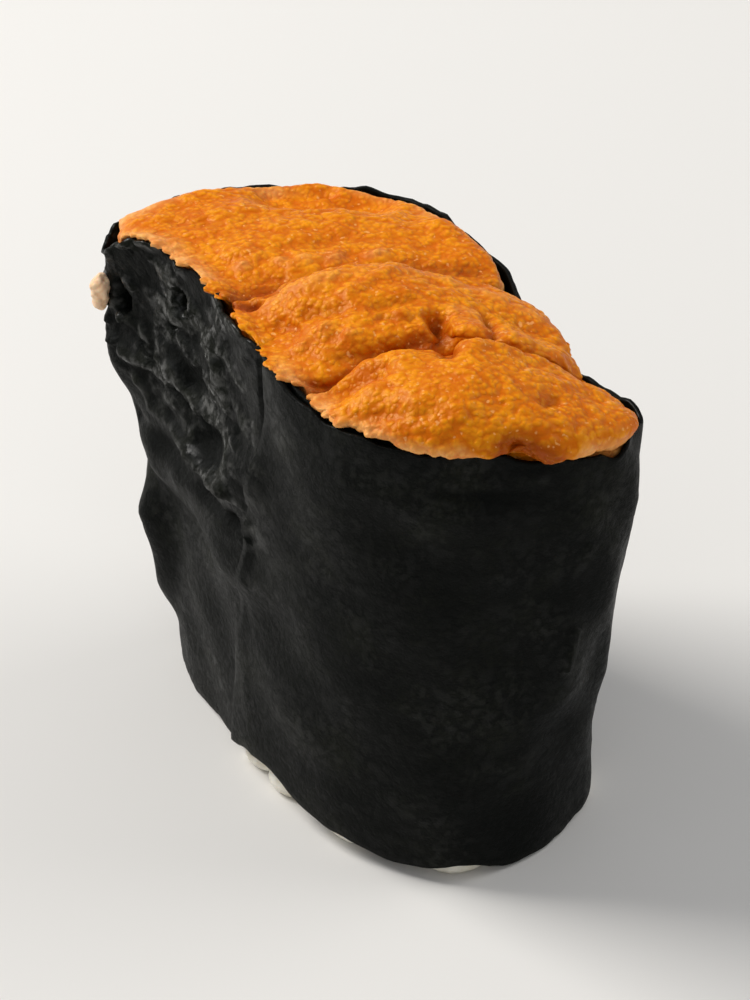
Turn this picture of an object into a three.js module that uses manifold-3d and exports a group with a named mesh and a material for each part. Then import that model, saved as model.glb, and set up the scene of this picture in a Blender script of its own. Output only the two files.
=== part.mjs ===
// A piece of sea urchin gunkan sushi: a hand-pressed block of rice, a strip of nori wrapped once
// round it and standing up past it, and tongues of sea urchin lying across the top.
// Millimetres, +Z up, +X along the longer side, resting on z = 0.
import * as THREE from "three";
import { mergeVertices } from "three/addons/utils/BufferGeometryUtils.js";
import Module from "manifold-3d";

const wasm = await Module();
wasm.setup();

// ---- driving dimensions ----
const NORI_HEIGHT = 36.4; // middling upper edge of the strip over the plate
const NORI_FOOT = 0.7; // lower edge of the strip over the plate
const NORI_THICK = 0.5;
const NORI_LAP = 0.95; // how far the outer layer stands off the inner one, middle to middle
const NORI_COLUMNS = 72;
const NORI_ROWS = 15;
const LAP_START = 14.4; // where the strip begins, in steps along WRAP
const LAP_LENGTH = { foot: 2, rim: 1.4 }; // how far it runs on over its own beginning, in steps
const CLEAR = 0.34; // gap kept between pieces that touch

const RICE_TOP = 30; // the rice ends here, under the sea urchin
const RICE_CORE_FOOT = 1.2; // the plain core starts here, with grains below it
const RICE_INSET = 0.3; // how much further in than CLEAR the plain core keeps
const GRAIN = { length: 5.4, width: 2.5, thick: 2.1 };
const UNDER = { count: 28, inset: 3.6, z: 0.72 }; // grains spread over the underside
const ROUND = { count: 18, inset: 2.1, z: 1 }; // grains round the foot
const PEEPING = { inset: 0.65, z: 0.95, tilt: 0.15 }; // grains that look out under the nori
const SEED = 20;

// The wrap seen from above, clockwise: where the strip stands and where its upper edge ends.
const WRAP = [
  { foot: [1, -11.3], rim: [3, -10.7, 37] }, // near long side
  { foot: [-6.5, -10.9], rim: [-6, -9.9, 37] },
  { foot: [-12.5, -10.4], rim: [-14.5, -10.3, 36.9] },
  { foot: [-15.7, -9.3], rim: [-20.5, -11.5, 35.2] }, // near left corner, folded sharp
  { foot: [-17.3, -6.2], rim: [-21.6, -8.6, 35.2] },
  { foot: [-18.4, -0.5], rim: [-21.4, -2, 35.8] },
  { foot: [-17.3, 6.2], rim: [-19, 5.5, 35.6] },
  { foot: [-13, 9.9], rim: [-14.2, 10, 35.4] },
  { foot: [-5.5, 11], rim: [-5.5, 11.4, 35.9] }, // far long side
  { foot: [3, 11], rim: [3.5, 10.1, 36] },
  { foot: [10.5, 10.3], rim: [12.4, 9.3, 35.8] },
  { foot: [15.4, 8.4], rim: [20.2, 9.7, 35.6] },
  { foot: [17.6, 5.3], rim: [22.1, 7.6, 35.5] }, // far right corner, folded sharp
  { foot: [19.3, 1], rim: [21.5, 2.2, 35.7] },
  { foot: [18.6, -4.4], rim: [18.8, -3.9, 37.1] },
  { foot: [11.5, -9.5], rim: [12.6, -9.4, 37.4] },
];

// Creases and bulges of the nori: from and to on the sheet, how far out (+) or in (-), half width.
const CREASES = [
  { from: [-17, -11.5, 12.5], to: [-16.5, -11, 7], out: 2.4, reach: 2.6 }, // loose bulge at the corner
  { from: [-18.5, -11.5, 19], to: [-17, -11, 18], out: -0.9, reach: 2 },
  { from: [-20.5, -12, 27.5], to: [-20.5, -12, 24], out: 1.4, reach: 3 },
  { from: [-10, -11.5, 20.5], to: [3, -12, 28], out: 0.9, reach: 2.2 },
  { from: [-20, -12, 22.5], to: [-4, -11.5, 26.5], out: -0.7, reach: 2.2 },
  { from: [-16, -11.8, 27.5], to: [-6, -11.4, 31.5], out: 0.8, reach: 2.2 },
  { from: [-20.5, -12.6, 30], to: [-19.5, -12.2, 28.5], out: -1.2, reach: 1.6 }, // pocket at the corner
  { from: [-9.5, -11.4, 32.5], to: [-8.5, -11.4, 29.5], out: -1.0, reach: 2.2 },
  { from: [-3, -11, 16.8], to: [7, -12, 20], out: 0.5, reach: 2 },
  { from: [14, -9, 33], to: [21, -1, 31.5], out: 0.5, reach: 2.4 },
  { from: [21, 4, 30], to: [19.5, 3, 14], out: 0.5, reach: 2.6 },
  { from: [5, 12, 30], to: [-12, 11.5, 24], out: 0.6, reach: 2.6 },
  { from: [-21, -4, 32], to: [-19, 2, 22], out: 0.7, reach: 2.6 },
  { from: [14, 11, 31], to: [10, 10.5, 20], out: -0.5, reach: 2.6 },
];
// The slack upper part of the strip overhangs the lower, between two places along WRAP.
const SHELF = { low: 16, high: 19, fade: 30, out: 1.1, from: 0.4, to: 3 };

// Places along the lower edge where the strip is lifted and grains of rice look out.
const PEEPS = [
  { at: 0.1, lift: 1.2 },
  { at: 15.7, lift: 1.7 },
  { at: 15, lift: 0.9 },
  { at: 13.9, lift: 1 },
  { at: 10.6, lift: 1.3 },
  { at: 7.4, lift: 1.2 },
  { at: 5.1, lift: 1 },
];
const PEEP_REACH = 0.45; // half width of such a lift, in steps along WRAP

// Lines that bound the tongues, from the near long side to the far one.
const LINES = {
  far_end: [[-21.2, -12], [-22, -4], [-18.6, 7], [-10.5, 12.4]],
  back_middle: [[-4.3, -10.7], [-3, -5.5], [-1.2, 2], [2.6, 12]],
  fold_back: [[7.4, -2.5], [8.4, 1.6], [10.4, 5.6], [14, 10.4]],
  middle_front: [[8.4, -11], [9.4, -5.5], [10.9, 1.5], [15.8, 10.6]],
  near_end: [[12.4, -10.5], [19, -5.6], [22.2, 1.2], [22.9, 10.4]],
};
const UNI_BED = 30.4; // underside of the tongues, just over the rice
const FOLD_FRONT = [[10, -2.2], [11.7, 1.6], [14, 5.6], [17, 10.8]];
// Each tongue lies between two lines. Crest, and the level of its two edges, run from the near
// end to the far end; lean shifts the crest towards one edge, and the higher the number under
// blunt, the squarer that end.
const TONGUES = [
  {
    name: "uni_front", colour: 0xe08a2c, back: LINES.middle_front, front: LINES.near_end,
    crest: [37.3, 39.4, 41, 40.9, 39, 36], back_edge: [36.8, 37.6, 38.4, 37.4, 35.5],
    front_edge: [37.2, 37.7, 37.6, 37.1, 36], lean: -0.35, blunt: [3, 3.2],
  },
  {
    name: "uni_fold", colour: 0xe8983c, back: LINES.fold_back, front: FOLD_FRONT,
    crest: [39, 40.3, 40.1, 38.2, 35.6], back_edge: [37.6, 38, 37.8, 36.6, 35.2],
    front_edge: [37.4, 37.8, 37.6, 36.4, 35], lean: 0, blunt: [2.5, 2.5],
  },
  {
    name: "uni_middle", colour: 0xe38f30, back: LINES.back_middle, front: LINES.middle_front,
    crest: [37.4, 39.6, 40.7, 40.5, 38.9, 36.4], back_edge: [37, 37.6, 38, 37.2, 36],
    front_edge: [37, 37.4, 37.8, 36.8, 35.6], lean: -0.3, blunt: [6, 3],
  },
  {
    name: "uni_back", colour: 0xe89638, back: LINES.far_end, front: LINES.back_middle,
    crest: [37.2, 37.9, 37.9, 37.6, 37, 36], back_edge: [36.2, 35.7, 35.2, 35.3],
    front_edge: [37, 37.3, 37.4, 36.7, 35.6], lean: 0.45, blunt: [8, 4],
  },
];
const TONGUE_AROUND = 18;
const TONGUE_ALONG = 15;
const TONGUE_LAP = 0.5; // how far neighbours press into each other before one gives way

// Furrows pressed into the tongues.
const FURROWS = [
  { from: [10.2, -1.6, 40.5], to: [14, -3.4, 40], out: -0.9, reach: 1.7 },
  { from: [1, -10, 38], to: [4, -4.5, 41.5], out: -0.5, reach: 1.8 },
  { from: [-15, -9, 39.5], to: [-6, -6, 41], out: -0.35, reach: 2 },
  { from: [-18, 0, 40], to: [-8, 9.5, 40], out: -0.7, reach: 2.2 },
];

// A scrap of sea urchin stuck to the outside of the near left corner.
const SCRAP = { at: [-20.9, -12.8, 31.1], size: [0.65, 0.6, 1.6] };

// ---- shaping helpers ----
const UP = new THREE.Vector3(0, 0, 1);
const { euclideanModulo, lerp } = THREE.MathUtils;

function smoothstep(low, high, value) {
  return THREE.MathUtils.smoothstep(value, low, high);
}

// A smooth run through evenly spaced numbers, read at s from 0 to 1.
function runOf(values) {
  const curve = new THREE.CatmullRomCurve3(values.map((value, i) => new THREE.Vector3(i, value, 0)));
  return (s) => curve.getPoint(s).y;
}

function lineOf(points) {
  const curve = new THREE.CatmullRomCurve3(points.map(([x, y]) => new THREE.Vector3(x, y, 0)));
  return (s) => curve.getPoint(s);
}

// The sum of the creases near a point.
function relief(point, creases) {
  const line = new THREE.Line3();
  const nearest = new THREE.Vector3();
  let sum = 0;
  for (const { from, to, out, reach } of creases) {
    line.set(new THREE.Vector3(...from), new THREE.Vector3(...to));
    line.closestPointToPoint(point, true, nearest);
    const away = nearest.distanceTo(point) / reach;
    sum += out * Math.exp(-1.6 * away * away);
  }
  return sum;
}

function reshape(geometry, place) {
  const position = geometry.attributes.position;
  const vertex = new THREE.Vector3();
  for (let i = 0; i < position.count; i++) {
    vertex.fromBufferAttribute(position, i);
    position.setXYZ(i, ...place(vertex));
  }
  return geometry;
}

function seeded(seed) {
  let state = seed;
  return () => {
    state = (Math.imul(state, 1664525) + 1013904223) >>> 0;
    return state / 2 ** 32;
  };
}

// ---- joining and cutting ----
function solid(geometry) {
  const bare = geometry.clone();
  bare.deleteAttribute("normal");
  bare.deleteAttribute("uv");
  const merged = mergeVertices(bare, 1e-5);
  const vertProperties = new Float32Array(merged.attributes.position.array);
  const triVerts = new Uint32Array(merged.index.array);
  return new wasm.Manifold(new wasm.Mesh({ numProp: 3, vertProperties, triVerts }));
}

function largestPiece(body) {
  return body.decompose().reduce((best, piece) => (piece.volume() > best.volume() ? piece : best));
}

function geometryOf(body) {
  const mesh = body.getMesh();
  const geometry = new THREE.BufferGeometry();
  geometry.setAttribute("position", new THREE.BufferAttribute(mesh.vertProperties, 3));
  geometry.setIndex(new THREE.BufferAttribute(mesh.triVerts, 1));
  geometry.computeVertexNormals();
  return geometry;
}

// ---- the surface of the wrap ----
const footCurve = new THREE.CatmullRomCurve3(
  WRAP.map(({ foot }) => new THREE.Vector3(foot[0], foot[1], NORI_FOOT)), true);
const rimCurve = new THREE.CatmullRomCurve3(
  WRAP.map(({ rim }) => new THREE.Vector3(...rim)), true);

// Middle of the sheet at a place in turns along WRAP and a fraction of its height.
function wrapPoint(turn, rise) {
  const u = euclideanModulo(turn, 1);
  const foot = footCurve.getPoint(u);
  const rim = rimCurve.getPoint(u);
  const point = foot.clone().lerp(rim, smoothstep(0, 1, rise));
  point.z = lerp(foot.z, rim.z, rise);
  return point;
}

function outward(turn, rise) {
  const step = 0.004;
  const run = wrapPoint(turn + step, rise).sub(wrapPoint(turn - step, rise));
  run.z = 0;
  return UP.clone().cross(run).normalize();
}

// How far the slack, creased sheet stands out from its plain form.
function slack(point, turn) {
  const place = euclideanModulo(turn, 1) * WRAP.length;
  const shelf = smoothstep(SHELF.low, SHELF.high, point.z)
    * (1 - smoothstep(SHELF.high + 2, SHELF.fade, point.z))
    * smoothstep(SHELF.from - 0.5, SHELF.from + 0.3, place)
    * (1 - smoothstep(SHELF.to - 1, SHELF.to + 0.5, place));
  const ripple = 0.16 * Math.sin(place * 3.1 + point.z * 0.35)
    + 0.12 * Math.sin(place * 5.3 - point.z * 0.5);
  return SHELF.out * shelf + ripple * smoothstep(0, 12, point.z) + relief(point, CREASES);
}

function sheetPoint(turn, rise, offset) {
  const point = wrapPoint(turn, rise);
  return point.addScaledVector(outward(turn, rise), slack(point, turn) + offset);
}

// How high the lower edge is lifted, as a fraction of the strip's height.
function footRise(turn) {
  const place = euclideanModulo(turn, 1) * WRAP.length;
  let lift = 0.15 * (1 + Math.sin(place * 2.3));
  for (const peep of PEEPS) {
    const apart = Math.abs(place - peep.at);
    const away = Math.min(apart, WRAP.length - apart) / PEEP_REACH;
    lift += peep.lift * Math.exp(-away * away);
  }
  return lift / NORI_HEIGHT;
}

// The upper edge is a little ragged.
function rimWave(turn) {
  const place = euclideanModulo(turn, 1) * WRAP.length;
  return 0.2 * Math.sin(place * 2.9 + 1) + 0.2 * Math.sin(place * 6.1);
}

function stripPoint(turn, rise, offset) {
  const point = sheetPoint(turn, lerp(footRise(turn), 1, rise), offset);
  point.z += rimWave(turn) * rise * rise;
  return point;
}

// A closed sheet from point(i, j, side), with both faces split into triangles alike. A ring joins
// its last column to its first.
function sheetGeometry(columns, rows, ring, pointAt) {
  const wide = ring ? columns : columns + 1;
  const positions = [];
  const faces = [];
  for (const side of [1, -1]) {
    for (let j = 0; j <= rows; j++) {
      for (let i = 0; i < wide; i++) {
        positions.push(...pointAt(i / columns, j / rows, side));
      }
    }
  }
  const at = (i, j, side) => (side > 0 ? 0 : wide * (rows + 1)) + j * wide + (i % wide);
  const quad = (a, b, c, d) => faces.push(a, b, c, a, c, d);
  for (let i = 0; i < columns; i++) {
    for (let j = 0; j < rows; j++) {
      quad(at(i + 1, j + 1, 1), at(i + 1, j, 1), at(i, j, 1), at(i, j + 1, 1));
      quad(at(i, j, -1), at(i + 1, j, -1), at(i + 1, j + 1, -1), at(i, j + 1, -1));
    }
    quad(at(i, 0, 1), at(i + 1, 0, 1), at(i + 1, 0, -1), at(i, 0, -1));
    quad(at(i, rows, -1), at(i + 1, rows, -1), at(i + 1, rows, 1), at(i, rows, 1));
  }
  for (let j = 0; j < rows && !ring; j++) {
    quad(at(0, j, 1), at(0, j, -1), at(0, j + 1, -1), at(0, j + 1, 1));
    quad(at(columns, j, -1), at(columns, j, 1), at(columns, j + 1, 1), at(columns, j + 1, -1));
  }
  const geometry = new THREE.BufferGeometry();
  geometry.setAttribute("position", new THREE.Float32BufferAttribute(positions, 3));
  geometry.setIndex(faces);
  geometry.computeVertexNormals();
  return geometry;
}

// ---- nori: one strip, climbing over its own beginning where it ends ----
function noriGeometry() {
  return sheetGeometry(NORI_COLUMNS, NORI_ROWS, false, (i, rise, side) => {
    const steps = i * (WRAP.length + lerp(LAP_LENGTH.foot, LAP_LENGTH.rim, rise));
    const climb = smoothstep(WRAP.length - 1.2, WRAP.length - 0.1, steps);
    const offset = climb * NORI_LAP + side * NORI_THICK / 2;
    return stripPoint((LAP_START + steps) / WRAP.length, rise, offset);
  });
}

// Everything beside the inner face of the nori between two fractions of its height: what rice and
// sea urchin have to stay out of.
function besideNori(low, high, rows) {
  const inner = -(NORI_THICK / 2 + CLEAR);
  const breadth = 10;
  return solid(sheetGeometry(NORI_COLUMNS, rows, true, (turn, fraction, side) => {
    const rise = lerp(low, high, fraction);
    const point = stripPoint(turn, rise, inner);
    if (side > 0) {
      point.addScaledVector(outward(turn, rise), breadth);
    }
    point.z += rise === 0 ? -CLEAR : 0;
    point.z += rise === 1 ? CLEAR : 0;
    return point;
  }));
}

// ---- rice ----
function riceCore() {
  const inset = -(NORI_THICK / 2 + CLEAR + RICE_INSET);
  const core = new THREE.CylinderGeometry(1, 1, 1, 48, 8);
  return reshape(core, (v) => {
    const z = lerp(RICE_CORE_FOOT, RICE_TOP, v.y + 0.5);
    if (Math.hypot(v.x, v.z) < 0.5) {
      return [0, 0, z];
    }
    const turn = -(Math.atan2(-v.z, v.x) / (2 * Math.PI) + 0.25);
    const rise = (z - NORI_FOOT) / (NORI_HEIGHT - NORI_FOOT);
    const point = sheetPoint(turn, rise, inset);
    return [point.x, point.y, z];
  });
}

function grain(x, y, z, heading, tilt, size) {
  const body = new THREE.SphereGeometry(0.5, 5, 4);
  body.scale(GRAIN.width * size, GRAIN.length * size, GRAIN.thick * size);
  body.rotateX(tilt);
  body.rotateZ(heading);
  body.translate(x, y, z);
  return solid(body);
}

function grains() {
  const draw = seeded(SEED);
  const golden = Math.PI * (3 - Math.sqrt(5));
  const found = [];
  for (let k = 0; k < UNDER.count; k++) {
    const edge = sheetPoint(k * golden / (2 * Math.PI), 0, -UNDER.inset);
    const reach = Math.sqrt((k + 0.5) / UNDER.count);
    const turned = draw() * Math.PI;
    found.push(grain(edge.x * reach, edge.y * reach, UNDER.z, turned, 0, 0.9 + 0.2 * draw()));
  }
  for (let k = 0; k < ROUND.count; k++) {
    const turn = (k + 0.5 * draw()) / ROUND.count;
    const point = sheetPoint(turn, 0, -ROUND.inset);
    const out = outward(turn, 0);
    const heading = Math.atan2(out.y, out.x) + 0.5 * (draw() - 0.5);
    found.push(grain(point.x, point.y, ROUND.z, heading, 0.3 * (draw() - 0.5), 0.9));
  }
  for (const { at } of PEEPS) {
    const turn = at / WRAP.length;
    const point = sheetPoint(turn, 0, -PEEPING.inset);
    const out = outward(turn, 0);
    const heading = Math.atan2(out.y, out.x) + 0.5 * (draw() - 0.5);
    found.push(grain(point.x, point.y, PEEPING.z, heading, PEEPING.tilt, 1));
  }
  return found;
}

function riceGeometry() {
  const beside = besideNori(0, 0.3, 3);
  const under = new THREE.BoxGeometry(80, 80, 10);
  under.translate(0, 0, -5);
  const heap = grains().reduce((sum, one) => sum.add(one), solid(riceCore()));
  return geometryOf(largestPiece(heap.subtract(beside).subtract(solid(under))));
}

// ---- sea urchin ----
// A tongue as a pillow between its two lines, swollen all round by a small amount.
function tongue({ back, front, crest, back_edge, front_edge, lean, blunt }, swell) {
  const backLine = lineOf(back);
  const frontLine = lineOf(front);
  const crestAt = runOf(crest);
  const backAt = runOf(back_edge);
  const frontAt = runOf(front_edge);
  const ball = new THREE.SphereGeometry(1, TONGUE_AROUND, TONGUE_ALONG);
  return reshape(ball, (v) => {
    const s = Math.acos(THREE.MathUtils.clamp(v.y, -1, 1)) / Math.PI;
    const ring = Math.sin(s * Math.PI);
    const across = ring > 1e-6 ? v.x / ring : 0;
    const upward = ring > 1e-6 ? -v.z / ring : 0;
    const end = Math.abs(2 * s - 1);
    const square = s < 0.5 ? blunt[0] : blunt[1];
    const wide = (1 - end ** square) ** (1 / square);
    const high = (1 - end ** 3) ** (1 / 3);
    const middle = backLine(s).lerp(frontLine(s), 0.5);
    const half = frontLine(s).sub(backLine(s)).multiplyScalar(0.5);
    const grown = 1 + (TONGUE_LAP / 2 + swell) / half.length();
    const shift = across * wide * grown + lean * Math.max(0, upward) ** 1.5 * high;
    const point = middle.addScaledVector(half, shift);
    const edge = lerp(backAt(s), frontAt(s), (across + 1) / 2);
    const top = crestAt(s) + swell;
    const rise = upward > 0 ? (top - edge) * upward ** 0.85 : (edge - UNI_BED) * -((-upward) ** 0.6);
    point.z = edge + rise * high;
    const lump = 0.22 * Math.sin(point.x * 1.1 + point.y * 0.7) * Math.sin(point.y * 0.9 - point.x * 0.4);
    point.z += (relief(point, FURROWS) + lump) * high * Math.min(1, 2 * Math.max(0, upward));
    return point;
  });
}

// Each tongue gives way to the nori and to the tongues listed before it.
function uniPieces() {
  const beside = besideNori(0.7, 1, 5);
  return TONGUES.map((shape, index) => {
    let body = solid(tongue(shape, 0)).subtract(beside);
    for (const earlier of TONGUES.slice(0, index)) {
      body = body.subtract(solid(tongue(earlier, CLEAR)));
    }
    return { name: shape.name, colour: shape.colour, geometry: geometryOf(largestPiece(body)) };
  });
}

function scrapGeometry() {
  const body = new THREE.SphereGeometry(1, 8, 6);
  body.scale(...SCRAP.size);
  body.translate(...SCRAP.at);
  return body;
}

// ---- the piece ----
const group = new THREE.Group();

function add(name, geometry, colour, roughness) {
  const mesh = new THREE.Mesh(geometry, new THREE.MeshStandardMaterial({ color: colour, roughness }));
  mesh.name = name;
  group.add(mesh);
}

add("nori", noriGeometry(), 0x0d120f, 0.45);
add("rice", riceGeometry(), 0xe9e6da, 0.5);
for (const { name, geometry, colour } of uniPieces()) {
  add(name, geometry, colour, 0.35);
}
add("uni_scrap", scrapGeometry(), 0xe9b078, 0.5);

// The origin is under the middle of the whole piece.
const box = new THREE.Box3().setFromObject(group);
const centre = box.getCenter(new THREE.Vector3());
group.position.set(-centre.x, -centre.y, -box.min.z);

export default group;
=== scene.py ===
# A piece of sea urchin gunkan sushi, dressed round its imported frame: a crinkled strip of nori,
# separate grains of rice, and granular tongues of sea urchin. Shapes are worked out in
# millimetres and made in metres; +Z is up.
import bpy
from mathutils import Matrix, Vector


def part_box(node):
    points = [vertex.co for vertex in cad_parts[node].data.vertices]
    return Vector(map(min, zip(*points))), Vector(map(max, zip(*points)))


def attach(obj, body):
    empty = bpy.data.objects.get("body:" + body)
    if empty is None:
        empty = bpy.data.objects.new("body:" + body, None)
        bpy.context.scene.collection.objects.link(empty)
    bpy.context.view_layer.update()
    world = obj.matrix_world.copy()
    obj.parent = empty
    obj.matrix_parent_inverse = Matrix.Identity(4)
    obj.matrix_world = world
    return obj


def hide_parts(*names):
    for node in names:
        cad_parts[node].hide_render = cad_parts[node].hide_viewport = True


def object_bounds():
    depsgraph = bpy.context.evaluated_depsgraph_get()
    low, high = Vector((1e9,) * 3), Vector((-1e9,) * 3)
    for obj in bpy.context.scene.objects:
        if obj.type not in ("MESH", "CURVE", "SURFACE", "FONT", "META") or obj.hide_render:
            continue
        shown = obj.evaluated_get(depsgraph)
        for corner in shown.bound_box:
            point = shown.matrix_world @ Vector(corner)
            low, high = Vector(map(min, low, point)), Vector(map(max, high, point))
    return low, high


bl_info = {
    "name": "Sea Urchin Gunkan",
    "version": (1, 0, 0),
    "blender": (4, 5, 0),
    "location": "3D View > Sidebar > Gunkan",
    "description": "Models a piece of sea urchin gunkan sushi round its solids",
    "category": "Object",
}

import math

import bpy
import numpy as np
from mathutils import Matrix, Vector, kdtree, noise
from mathutils.bvhtree import BVHTree

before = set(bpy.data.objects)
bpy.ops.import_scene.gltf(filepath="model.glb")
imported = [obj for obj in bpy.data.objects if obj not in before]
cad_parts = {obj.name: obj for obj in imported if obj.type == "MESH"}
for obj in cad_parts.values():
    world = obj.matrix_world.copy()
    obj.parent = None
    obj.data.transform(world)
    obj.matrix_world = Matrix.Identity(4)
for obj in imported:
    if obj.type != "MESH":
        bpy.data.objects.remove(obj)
cad_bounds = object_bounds()

MM = 0.001

# ---- the wrap, in mm ----
# Seen from above, clockwise: where the strip stands, and where its upper edge ends.
WRAP = (
    ((1, -11.3), (3, -10.7, 37)),  # near long side
    ((-6.5, -10.9), (-6, -9.9, 37)),
    ((-12.5, -10.4), (-14.5, -10.3, 36.9)),
    ((-15.7, -9.3), (-20.5, -11.5, 35.2)),  # near left corner, folded sharp
    ((-17.3, -6.2), (-21.6, -8.6, 35.2)),
    ((-18.4, -0.5), (-21.4, -2, 35.8)),
    ((-17.3, 6.2), (-19, 5.5, 35.6)),
    ((-13, 9.9), (-14.2, 10, 35.4)),
    ((-5.5, 11), (-5.5, 11.4, 35.9)),  # far long side
    ((3, 11), (3.5, 10.1, 36)),
    ((10.5, 10.3), (12.4, 9.3, 35.8)),
    ((15.4, 8.4), (20.2, 9.7, 35.6)),
    ((17.6, 5.3), (22.1, 7.6, 35.5)),  # far right corner, folded sharp
    ((19.3, 1), (21.5, 2.2, 35.7)),
    ((18.6, -4.4), (18.8, -3.9, 37.1)),
    ((11.5, -9.5), (12.6, -9.4, 37.4)),
)
STEPS = len(WRAP)
NORI_HEIGHT = 36.4
NORI_FOOT = 0.7
NORI_PACKED = 0.5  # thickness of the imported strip
NORI_FACES = (380, 120)  # along the strip, and from its foot to its rim
LAP_START = 14.4  # where the strip begins, in steps along WRAP
LAP_FOOT = 2.0  # how far it runs on over its own beginning at the foot, in steps
LAP_RIM = 1.4  # and at the rim
CLIMB = (1.2, 0.1)  # from where to where it climbs onto it, in steps before a whole turn
STEP_LENGTH = 7  # a step along WRAP, about, in mm
WAVES = ((0.16, 3.1, 0.35), (0.12, 5.3, -0.5))  # how far out, how fast along WRAP and upwards
RIM_WAVES = ((0.2, 2.9, 1), (0.2, 6.1, 0))  # how far up, how fast along WRAP, start
FOOT_WAVE = (0.15, 2.3)  # the same without a start

# Creases and bulges: from, to, reach, how far out (+) or in (-).
CREASES = (
    ((-17, -11.5, 12.5), (-16.5, -11, 7), 2.6, 2.4),  # loose bulge at the corner
    ((-18.5, -11.5, 19), (-17, -11, 18), 2, -0.9),
    ((-20.5, -12, 27.5), (-20.5, -12, 24), 3, 1.4),
    ((-10, -11.5, 20.5), (3, -12, 28), 2.2, 0.9),
    ((-20, -12, 22.5), (-4, -11.5, 26.5), 2.2, -0.7),
    ((-16, -11.8, 27.5), (-6, -11.4, 31.5), 2.2, 0.8),
    ((-20.5, -12.6, 30), (-19.5, -12.2, 28.5), 1.6, -1.2),  # pocket at the corner
    ((-9.5, -11.4, 32.5), (-8.5, -11.4, 29.5), 2.2, -1.0),
    ((-3, -11, 16.8), (7, -12, 20), 2, 0.5),
    ((14, -9, 33), (21, -1, 31.5), 2.4, 0.5),
    ((21, 4, 30), (19.5, 3, 14), 2.6, 0.5),
    ((5, 12, 30), (-12, 11.5, 24), 2.6, 0.6),
    ((-21, -4, 32), (-19, 2, 22), 2.6, 0.7),
    ((14, 11, 31), (10, 10.5, 20), 2.6, -0.5),
)
# Finer creases, pressed in when the damp sheet shrank, in the same order.
FINE_CREASES = (
    ((-16.4, -11.5, 25.1), (-14.9, -11.4, 23.9), 0.7, 0.7),  # lower edge of the slack part
    ((-14.9, -11.4, 23.9), (-6.2, -11.3, 23.6), 0.7, 0.75),
    ((-6.2, -11.3, 23.6), (-1.4, -11.7, 24.4), 0.7, 0.65),
    ((-17, -11.4, 21.6), (-1, -11.5, 21.8), 1.1, -0.6),  # the hollow under it
    ((-0.2, -11.2, 28.1), (5.8, -11.9, 29.6), 0.4, 0.35),
    ((-6.2, -10.3, 27.1), (-1.2, -11, 28.1), 0.45, 0.35),
    ((-3.6, -10.6, 31.9), (1.8, -11.1, 36.6), 0.45, 0.3),
    ((-5.4, -10.4, 34.6), (-1.5, -10.8, 29), 0.5, -0.35),
    ((-16.8, -11, 33.8), (-14.5, -11, 28), 0.6, -0.5),  # creases that run to the pockets
    ((-14.5, -11, 28), (-9.4, -10.6, 26.4), 0.6, -0.4),
    ((-12.5, -10.3, 31.2), (-9.6, -10.6, 28.6), 0.6, -0.4),
    ((-18.6, -11.6, 29.4), (-12.8, -10.8, 29.8), 0.6, 0.45),
    ((-19.6, -11.9, 26.8), (-12, -11, 27.4), 0.6, 0.35),
    ((-21.2, -12.9, 28.7), (-20.4, -12.2, 28.7), 0.6, 0.9),  # the tip under the scrap
    ((1.4, -12.7, 20), (7.6, -11.8, 20.3), 0.45, 0.5),
    ((7.6, -11.8, 20.3), (9.5, -11, 17.5), 0.45, 0.4),
    ((22.2, 4.9, 28), (22, 4, 26), 0.45, 0.3),
    ((21.4, 4.1, 20.5), (21.2, 3.4, 17.5), 0.5, 0.35),
    ((17, -8, 35.4), (20.4, -2.6, 34), 0.45, 0.3),  # wrinkles under the near end of the rim
    ((20.6, -3.2, 34.9), (22.1, 1.4, 34.7), 0.7, 0.8),
    ((18.4, -5.6, 34.2), (21.6, 1, 33.2), 0.5, -0.35),
)
# The slack upper part of the strip overhangs the lower: heights and how far out in mm, and
# where that starts and ends in steps along WRAP.
SHELF = {"low": 16, "high": 19, "fade": 30, "out": 1.1, "start": 0.4, "end": 3}
# Small deep pockets in the slack part: middle, half width, half height and depth.
POCKETS = (
    ((-18.4, -11.6, 31.3), 0.8, 1.7, 1.9),
    ((-11.3, -10.1, 34.1), 1, 1.1, 2.2),
    ((-12.5, -10.3, 31.4), 0.4, 0.4, 0.7),
)
# How far the limp rim stands up past the plain strip (+) or falls short of it (-): place along
# WRAP, mm.
RISES = (
    (0, 1.3), (0.6, 1.3), (1, 1), (2, 0.6), (2.6, 0.1), (3, -0.7), (3.2, -0.4), (3.5, 0.7),
    (4, 1), (4.4, 0.5), (5, 0.2), (5.6, -0.1), (6.3, -0.5), (7, -0.2), (7.45, 0), (7.75, 0.35),
    (8.05, 0.3), (8.35, -1.1), (8.7, -0.8), (9.1, 0), (10, 0.1), (15, 0.1), (15.5, 0.8),
    (16, 1.3),
)
RISE_LEAN = 0.35  # how far it leans in there, for each mm of height
# How the torn rim wanders up and down: how far, size, seed.
RAGS = ((0.4, 2.4, 9.1), (0.28, 0.9, 4.4))
FOOT_RAGS = 0.4  # how much of that the foot has
FOOT_LONGER = 0.42  # how far the foot reaches down past the plain strip's
DEEPEST = 0.9  # how far in a wrinkle may go
DEEPEST_AT_RIM = 0.1  # and at the rim, where the filling is behind it
# Layers of the crumple: depth, how high its flats are for their width, their size, seed.
CRUMPLE = ((3.8, 0.4, 2, 22.4), (1.6, 0.6, 1.1, 29.9))
# Where the lower edge is lifted and rice looks out: place along WRAP, lift in mm.
PEEPS = ((0.1, 1.2), (15.7, 1.7), (15, 0.9), (13.9, 1), (10.6, 1.3), (7.4, 1.2), (5.1, 1))
PEEP_REACH = 0.45  # in steps

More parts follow.
